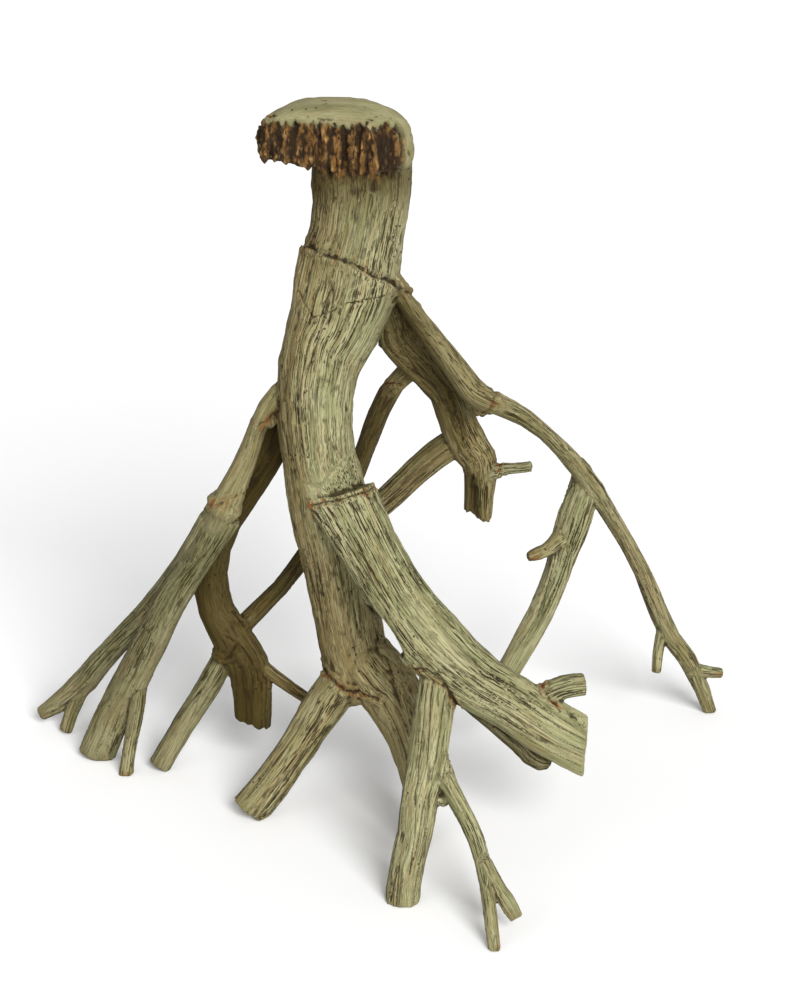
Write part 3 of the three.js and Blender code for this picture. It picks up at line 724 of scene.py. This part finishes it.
finish = bpy.data.materials.new("scoured_wood")
finish.use_nodes = True
tree = finish.node_tree
shader = tree.nodes["Principled BSDF"]


def node(kind, inputs=(), **settings):
    """A node with its settings, and its inputs linked or set by name or number."""
    made = tree.nodes.new("ShaderNode" + kind)
    for name, value in settings.items():
        setattr(made, name, value)
    for name, value in dict(inputs).items():
        if isinstance(value, bpy.types.NodeSocket):
            tree.links.new(value, made.inputs[name])
        else:
            made.inputs[name].default_value = value
    return made


def attribute_value(name):
    """What the mesh says of each point under this name."""
    return node("Attribute", attribute_name=name).outputs["Fac"]


def sum_of(a, b, operation="ADD"):
    """Two numbers added, or joined by another operation."""
    return node("Math", {0: a, 1: b}, operation=operation).outputs[0]


def stretched(scale_across, scale_along, detail, seed, roughness=0.5):
    """Noise drawn out along the grain, 0 to 1."""
    vector = node("Attribute", attribute_name="grain").outputs["Vector"]
    placed = node("Mapping", {"Vector": vector, "Location": (seed, seed * 0.7, seed * 1.3),
                              "Scale": (scale_across, scale_across, scale_along)})
    made = node("TexNoise", {"Vector": placed.outputs[0], "Scale": 1.0, "Detail": detail,
                             "Roughness": roughness})
    return made.outputs["Fac"]


def solid_noise(scale, detail):
    """Noise through the whole block, 0 to 1."""
    place_in_object = node("TexCoord").outputs["Object"]
    return node("TexNoise", {"Vector": place_in_object, "Scale": scale, "Detail": detail}).outputs["Fac"]


UPRIGHT_DRAW = 0.3


def upright_noise(scale, detail):
    """Noise drawn out from top to bottom, 0 to 1."""
    placed = node("Mapping", {"Vector": node("TexCoord").outputs["Object"], "Scale": (1, 1, UPRIGHT_DRAW)})
    return node("TexNoise", {"Vector": placed.outputs[0], "Scale": scale, "Detail": detail}).outputs["Fac"]


def between(value, low, high):
    """0 below low, 1 above high, smooth in between; it falls instead where low is above high."""
    made = node("MapRange", {"Value": value, "From Min": min(low, high), "From Max": max(low, high)},
                interpolation_type="SMOOTHSTEP")
    if low > high:
        made.inputs["To Min"].default_value = 1
        made.inputs["To Max"].default_value = 0
    return made.outputs["Result"]


def mixed(share, first, second):
    """Two colours mixed by a share."""
    made = node("Mix", data_type="RGBA")
    for socket, value in ((made.inputs[0], share), (made.inputs[6], first), (made.inputs[7], second)):
        if isinstance(value, bpy.types.NodeSocket):
            tree.links.new(value, socket)
        else:
            socket.default_value = value
    return made.outputs[2]


PALE_GRAIN_HIGHLIGHT = linear(192, 189, 153)
PALE = linear(168, 163, 122)
GREEN = linear(138, 140, 98)
WARM = linear(143, 121, 72)
STREAK = linear(92, 76, 42)
CRACK_AND_CREASE_SHADE = linear(42, 31, 13)
RUST = linear(132, 84, 40)
OLIVE_STAIN_AND_SHADE = linear(64, 52, 12)
TORN_RIDGE = linear(118, 84, 42)
TORN_TAN_HIGHLIGHT = linear(168, 130, 78)
TORN_FLUTE_SHADE = linear(34, 22, 10)
PITS_PER_METRE = 150.0


def part_of(value, share):
    """A share of a number."""
    return sum_of(value, share, "MULTIPLY")


# Streaks and splits: each is noise drawn out along the grain, so many lumps to the metre across it
# and along it, and the splits show only where the wood is open and in patches.
open_grain = attribute_value("open_grain")
broad = stretched(95, 9, 3, 1)
ridges = stretched(1000, 20, 3, 2, roughness=0.6)
fibres = stretched(2000, 70, 3, 3, roughness=0.65)
long_cracks = between(stretched(950, 10, 2, 8, roughness=0.4), 0.605, 0.645)
long_dashes = between(stretched(980, 34, 2, 4, roughness=0.45), 0.585, 0.64)
short_dashes = between(stretched(1050, 110, 2, 6, roughness=0.5), 0.585, 0.65)
split_patches = between(stretched(50, 14, 2, 7), 0.36, 0.58)
dashes = sum_of(sum_of(long_cracks, long_dashes, "MAXIMUM"), part_of(short_dashes, 0.9), "MAXIMUM")
dashes = part_of(part_of(dashes, sum_of(part_of(split_patches, 0.65), 0.35)), open_grain)
patches = solid_noise(16, 3)
soft_grain = sum_of(part_of(open_grain, 0.7), 0.3)

# The colours go on one over another: the wood's own pale green and ochre with painted shade on the trunk's
# left side, the grain with a painted highlight, the bark, the splits, the stain, the painted shade in the
# hollows and creases, the wide cracks, the torn fibres with their painted shade and highlights, and last
# the pits.
colour = mixed(between(broad, 0.36, 0.64), PALE, GREEN)
colour = mixed(part_of(between(patches, 0.5, 0.68), 0.2), colour, WARM)
colour = mixed(part_of(attribute_value("warm"), 0.7), colour, WARM)
# Pale grain lines, partly a painted highlight along the grain's ridges.
colour = mixed(part_of(part_of(between(ridges, 0.5, 0.35), soft_grain), 0.5), colour, PALE_GRAIN_HIGHLIGHT)
colour = mixed(part_of(part_of(between(ridges, 0.52, 0.68), soft_grain), 0.38), colour, STREAK)
colour = mixed(part_of(part_of(between(fibres, 0.5, 0.68), soft_grain), 0.5), colour, STREAK)
rust_noise = between(stretched(260, 18, 3, 5), 0.46, 0.7)
rust_share = part_of(attribute_value("rust"), sum_of(rust_noise, 0.4))
colour = mixed(part_of(rust_noise, 0.2), colour, RUST)
colour = mixed(between(rust_share, 0.1, 1.1), colour, RUST)
colour = mixed(part_of(dashes, 0.95), colour, CRACK_AND_CREASE_SHADE)
# The stain, partly darker wood and partly painted shade, is laid on in dark olive.
colour = mixed(attribute_value("stain_and_shade"), colour, OLIVE_STAIN_AND_SHADE)
# Painted shade: hollows darkened to olive and fine creases to near black, by how deep they lie.
colour = mixed(part_of(between(attribute_value("large_cavity"), 0.15, 0.9), 0.6), colour, OLIVE_STAIN_AND_SHADE)
colour = mixed(part_of(between(attribute_value("small_cavity"), 0.1, 0.9), 0.75), colour, CRACK_AND_CREASE_SHADE)
colour = mixed(part_of(between(attribute_value("crack"), 0.15, 0.85), 0.9), colour, CRACK_AND_CREASE_SHADE)
# The torn fibres: brown, with tan streaks that are partly a painted highlight on the ridges, and
# near-black painted shade deep in the flutes and in the upright gaps between them.
torn_mix = mixed(between(upright_noise(260, 3), 0.5, 0.66), TORN_RIDGE, TORN_TAN_HIGHLIGHT)
torn_mix = mixed(part_of(attribute_value("flute"), 0.95), torn_mix, TORN_FLUTE_SHADE)
torn_mix = mixed(part_of(between(upright_noise(340, 3), 0.48, 0.6), 0.85), torn_mix, TORN_FLUTE_SHADE)
colour = mixed(attribute_value("torn"), colour, torn_mix)
pits = node("TexVoronoi", {"Vector": node("TexCoord").outputs["Object"], "Scale": PITS_PER_METRE},
            feature="F1")
pit_share = part_of(between(pits.outputs["Distance"], 0.16, 0.09), between(solid_noise(30, 2), 0.5, 0.58))
colour = mixed(part_of(pit_share, 0.85), colour, CRACK_AND_CREASE_SHADE)
tree.links.new(colour, shader.inputs["Base Color"])
shader.inputs["Roughness"].default_value = 0.85
shader.inputs["Specular IOR Level"].default_value = 0.2

# The same streaks, splits and pits catch the light as if the surface rose and sank about a
# millimetre there.
RELIEF = 0.0013
height = part_of(sum_of(ridges, part_of(fibres, 0.45)), soft_grain)
height = sum_of(height, part_of(dashes, -0.8))
height = sum_of(height, part_of(pit_share, -0.8))
height = sum_of(height, part_of(solid_noise(700, 4), 0.3))
bump = node("Bump", {"Height": height, "Strength": 0.8, "Distance": RELIEF})
tree.links.new(bump.outputs[0], shader.inputs["Normal"])

wood_mesh.materials.clear()
wood_mesh.materials.append(finish)
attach(wood, "root")
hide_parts("root")

# The floor is a plain pale sheet. The light is soft: broad daylight from above on the front right, a
# weak lamp on the left, and an even pale sky.
FLOOR_RADIUS = 9
FLOOR_DROP = 0.0005
paper = bmesh.new()
bmesh.ops.create_circle(paper, cap_ends=True, segments=64, radius=FLOOR_RADIUS)
floor_mesh = bpy.data.meshes.new("floor")
paper.to_mesh(floor_mesh)
paper.free()
floor = bpy.data.objects.new("floor", floor_mesh)
floor.location.z = -FLOOR_DROP
bpy.context.scene.collection.objects.link(floor)
floor_finish = bpy.data.materials.new("pale_floor")
floor_finish.use_nodes = True
floor_shader = floor_finish.node_tree.nodes["Principled BSDF"]
floor_shader.inputs["Base Color"].default_value = (0.95, 0.95, 0.95, 1)
floor_shader.inputs["Roughness"].default_value = 0.9
floor_mesh.materials.append(floor_finish)


def lamp(name, kind, position, power, **settings):
    """A lamp that faces the root."""
    made = bpy.data.objects.new(name, bpy.data.lights.new(name, kind))
    made.data.energy = power
    for setting, value in settings.items():
        setattr(made.data, setting, value)
    made.location = position
    made.rotation_euler = (Vector(position) - AIM).to_track_quat("Z", "Y").to_euler()
    bpy.context.scene.collection.objects.link(made)


lamp("daylight", "SUN", (0.9, -2.0, 1.8), 3.3, angle=math.radians(30))
lamp("side_lamp", "AREA", (-1.6, -1.2, 1.6), 3, size=1.2)
world = bpy.data.worlds.new("studio")
world.use_nodes = True
sky = world.node_tree.nodes["Background"]
sky.inputs["Color"].default_value = (1, 1, 1, 1)
sky.inputs["Strength"].default_value = 0.5
bpy.context.scene.world = world
bpy.context.scene.view_settings.view_transform = "Standard"
